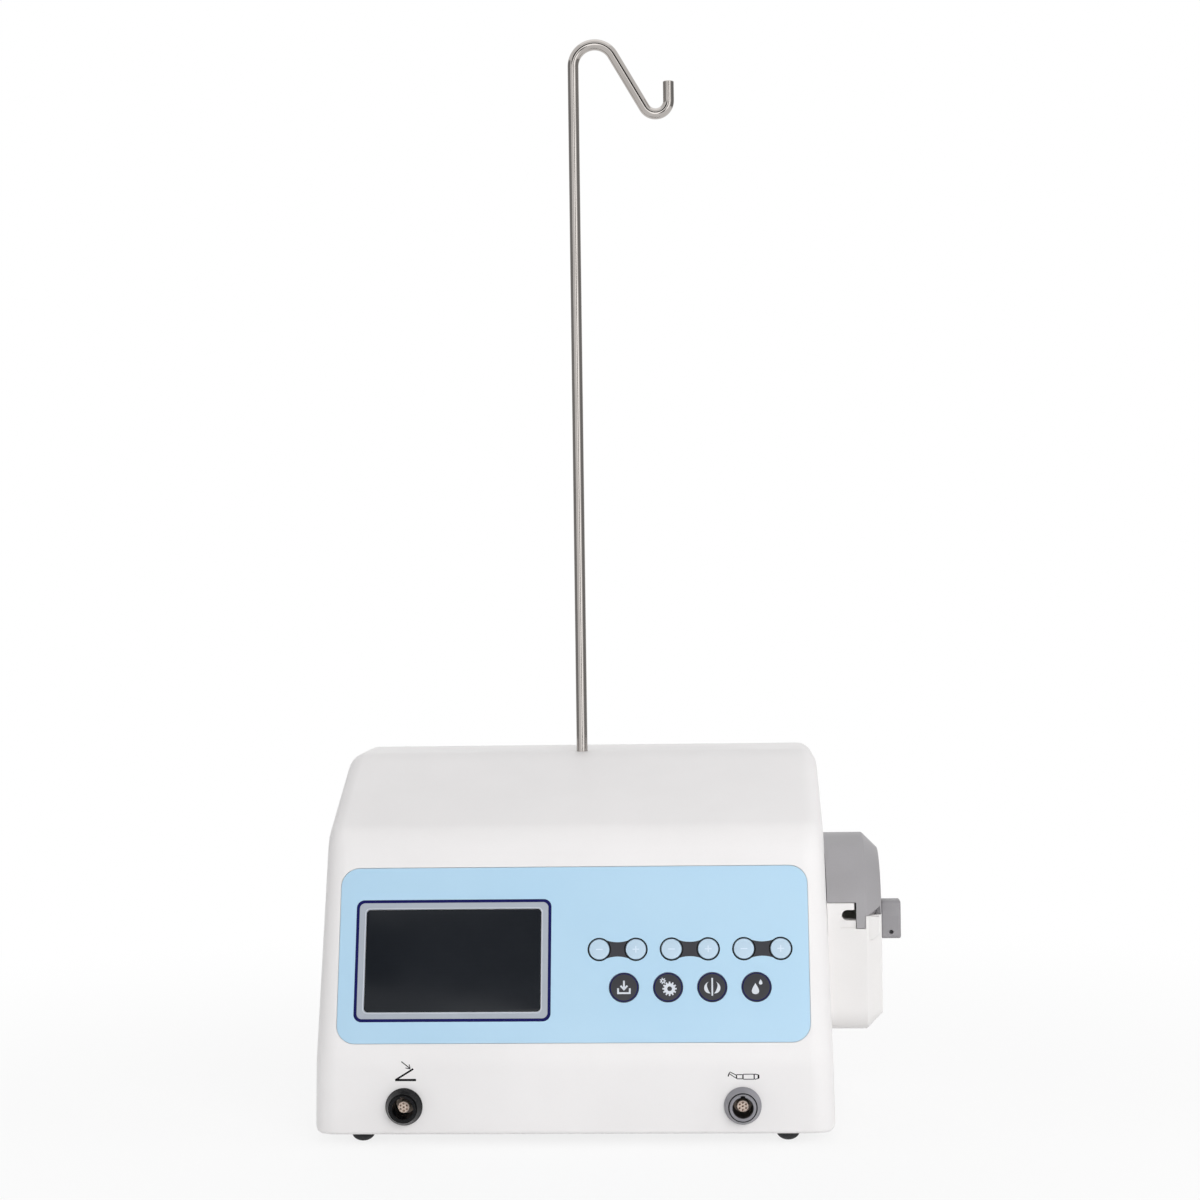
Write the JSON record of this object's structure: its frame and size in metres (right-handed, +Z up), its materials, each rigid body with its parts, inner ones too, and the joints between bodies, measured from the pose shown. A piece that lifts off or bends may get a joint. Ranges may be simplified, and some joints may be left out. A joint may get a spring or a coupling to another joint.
{
  "type": "dental motor console",
  "caption": "Desk-top dental motor console with a tilted display and key panel, round sockets, a side irrigation pump with a hinged cover and a steel bag pole with a hook.",
  "frame": {"origin": "floor level under the middle of the footprint", "axes": "+Z up along the bag pole, front panel towards -Y, pump on the +X side"},
  "size_m": [0.314, 0.2106, 0.6078],
  "materials": {
    "white_shell": "fine satin, moulded",
    "grey_shell": "satin, moulded",
    "lever_grey": "satin, moulded",
    "blue_film": "smooth membrane film",
    "pale_key": "smooth membrane key",
    "dark_key": "smooth membrane key",
    "screen_window": "clear gloss over a dark display",
    "black_ring": "gloss black",
    "grey_ring": "satin metallic grey",
    "contact_block": "matt insulating block",
    "bright_steel": "polished stainless rod",
    "plated_steel": "zinc plated",
    "rubber": "matt black rubber",
    "pale_nylon": "natural nylon",
    "black_nylon": "matt black nylon",
    "circuit_board": "green solder mask",
    "aluminium": "mill finish",
    "flat_cable": "flat flexible cable",
    "grey_lead": "grey cable sheath"
  },
  "bodies": {
    "console": {"base_plate": "white_shell", "base_screw_front_left": "plated_steel", "base_screw_front_right": "plated_steel", "base_screw_rear_left": "plated_steel", "base_screw_rear_right": "plated_steel", "cover_pin": "bright_steel", "display_module": "aluminium", "display_ribbon": "flat_cable", "display_window": "screen_window", "foot_front_left": "rubber", "foot_front_right": "rubber", "foot_rear_left": "rubber", "foot_rear_right": "rubber", "front_overlay": "blue_film", "key_board": "circuit_board", "main_board": "circuit_board", "mains_inlet": "black_nylon", "motor_lead": "grey_lead", "motor_socket": "grey_ring", "motor_socket_insert": "contact_block", "motor_socket_nut": "plated_steel", "panel_screw_1": "plated_steel", "panel_screw_2": "plated_steel", "panel_screw_3": "plated_steel", "panel_screw_4": "plated_steel", "pedal_socket": "black_ring", "pedal_socket_insert": "contact_block", "pedal_socket_nut": "plated_steel", "pole_socket": "aluminium", "power_supply": "aluminium", "pump_housing": "white_shell", "pump_motor": "aluminium", "rear_panel": "grey_shell", "switch_frame": "black_nylon", "upper_housing": "white_shell"},
    "program_down_key": {"program_down_key": "pale_key"},
    "program_up_key": {"program_up_key": "pale_key"},
    "speed_down_key": {"speed_down_key": "pale_key"},
    "speed_up_key": {"speed_up_key": "pale_key"},
    "torque_down_key": {"torque_down_key": "pale_key"},
    "torque_up_key": {"torque_up_key": "pale_key"},
    "memory_key": {"memory_key": "dark_key"},
    "gear_key": {"gear_key": "dark_key"},
    "direction_key": {"direction_key": "dark_key"},
    "coolant_key": {"coolant_key": "dark_key"},
    "pump_cover": {"pump_cover": "grey_shell"},
    "latch_lever": {"latch_lever": "lever_grey", "latch_screw": "black_nylon"},
    "pump_rotor": {"pump_rotor": "pale_nylon", "rotor_shaft": "bright_steel", "roller_pin_1": "bright_steel", "roller_pin_2": "bright_steel", "roller_pin_3": "bright_steel"},
    "roller_1": {"roller_1": "black_nylon"},
    "roller_2": {"roller_2": "black_nylon"},
    "roller_3": {"roller_3": "black_nylon"},
    "pole_bush": {"pole_bush": "pale_nylon"},
    "bag_pole": {"bag_pole": "bright_steel"},
    "power_rocker": {"power_rocker": "black_nylon"},
    "fuse_drawer": {"fuse_drawer": "black_nylon"}
  },
  "joints": [
    {"name": "program_down_key_press", "type": "slide", "parent": "console", "child": "program_down_key", "axis": [0, 0.9502, -0.3115], "range_m": [0, 0.0005], "stiffness_N_per_m": 2000},
    {"name": "program_up_key_press", "type": "slide", "parent": "console", "child": "program_up_key", "axis": [0, 0.9502, -0.3115], "range_m": [0, 0.0005], "stiffness_N_per_m": 2000},
    {"name": "speed_down_key_press", "type": "slide", "parent": "console", "child": "speed_down_key", "axis": [0, 0.9502, -0.3115], "range_m": [0, 0.0005], "stiffness_N_per_m": 2000},
    {"name": "speed_up_key_press", "type": "slide", "parent": "console", "child": "speed_up_key", "axis": [0, 0.9502, -0.3115], "range_m": [0, 0.0005], "stiffness_N_per_m": 2000},
    {"name": "torque_down_key_press", "type": "slide", "parent": "console", "child": "torque_down_key", "axis": [0, 0.9502, -0.3115], "range_m": [0, 0.0005], "stiffness_N_per_m": 2000},
    {"name": "torque_up_key_press", "type": "slide", "parent": "console", "child": "torque_up_key", "axis": [0, 0.9502, -0.3115], "range_m": [0, 0.0005], "stiffness_N_per_m": 2000},
    {"name": "memory_key_press", "type": "slide", "parent": "console", "child": "memory_key", "axis": [0, 0.9502, -0.3115], "range_m": [0, 0.0005], "stiffness_N_per_m": 2000},
    {"name": "gear_key_press", "type": "slide", "parent": "console", "child": "gear_key", "axis": [0, 0.9502, -0.3115], "range_m": [0, 0.0005], "stiffness_N_per_m": 2000},
    {"name": "direction_key_press", "type": "slide", "parent": "console", "child": "direction_key", "axis": [0, 0.9502, -0.3115], "range_m": [0, 0.0005], "stiffness_N_per_m": 2000},
    {"name": "coolant_key_press", "type": "slide", "parent": "console", "child": "coolant_key", "axis": [0, 0.9502, -0.3115], "range_m": [0, 0.0005], "stiffness_N_per_m": 2000},
    {"name": "cover_hinge", "type": "hinge", "parent": "console", "child": "pump_cover", "pos_m": [0.13108, 0.03504, 0.1214], "axis": [-1, 0, 0], "range_deg": [0, 95]},
    {"name": "latch_turn", "type": "hinge", "parent": "console", "child": "latch_lever", "pos_m": [0.14646, -0.03596, 0.1036], "axis": [1, 0, 0], "range_deg": [0, 90]},
    {"name": "rotor_spin", "type": "hinge", "parent": "console", "child": "pump_rotor", "pos_m": [0.12166, -0.01296, 0.11], "axis": [1, 0, 0], "continuous": true},
    {"name": "roller_1_spin", "type": "hinge", "parent": "pump_rotor", "child": "roller_1", "pos_m": [0.12166, -0.01296, 0.135], "axis": [1, 0, 0], "continuous": true},
    {"name": "roller_2_spin", "type": "hinge", "parent": "pump_rotor", "child": "roller_2", "pos_m": [0.12166, -0.03461, 0.0975], "axis": [1, 0, 0], "continuous": true},
    {"name": "roller_3_spin", "type": "hinge", "parent": "pump_rotor", "child": "roller_3", "pos_m": [0.12166, 0.00869, 0.0975], "axis": [1, 0, 0], "continuous": true},
    {"name": "pole_swivel", "type": "hinge", "parent": "console", "child": "pole_bush", "pos_m": [-0.01935, 0.03004, 0.165], "axis": [0, 0, 1], "continuous": true},
    {"name": "pole_lift", "type": "slide", "parent": "pole_bush", "child": "bag_pole", "axis": [0, 0, 1], "range_m": [0, 0.06]},
    {"name": "rocker_tip", "type": "hinge", "parent": "console", "child": "power_rocker", "pos_m": [-0.03735, 0.10084, 0.062], "axis": [1, 0, 0], "range_deg": [0, 16]},
    {"name": "fuse_slide", "type": "slide", "parent": "console", "child": "fuse_drawer", "axis": [0, 1, 0], "range_m": [0, 0.02]}
  ]
}
